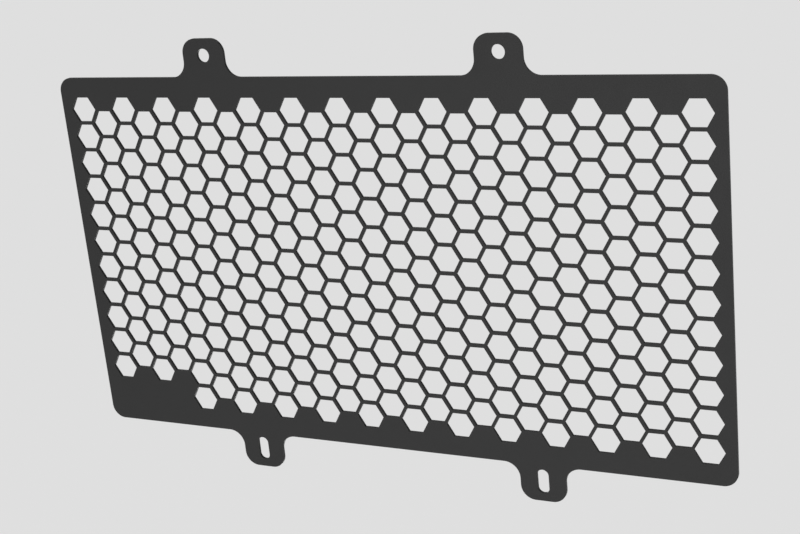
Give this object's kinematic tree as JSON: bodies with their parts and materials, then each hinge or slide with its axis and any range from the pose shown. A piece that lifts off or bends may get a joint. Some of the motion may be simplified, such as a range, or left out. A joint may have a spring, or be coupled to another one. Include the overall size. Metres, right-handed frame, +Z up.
{
  "type": "motorcycle radiator guard",
  "caption": "Flat sheet guard with a honeycomb of air holes, bolt ears above and slotted ears below, that shields a motorcycle's radiator from stones.",
  "frame": {"origin": "midway between the two upper bolt holes, on the back face", "axes": "+X along the guard's length, to the right seen from the front; +Y out of the back face, towards the radiator; +Z up, as it is worn"},
  "size_m": [0.3404, 0.0015, 0.2238],
  "materials": {
    "black_powder_coat": "matte"
  },
  "bodies": {
    "root": {"guard_plate": "black_powder_coat"}
  },
  "joints": []
}
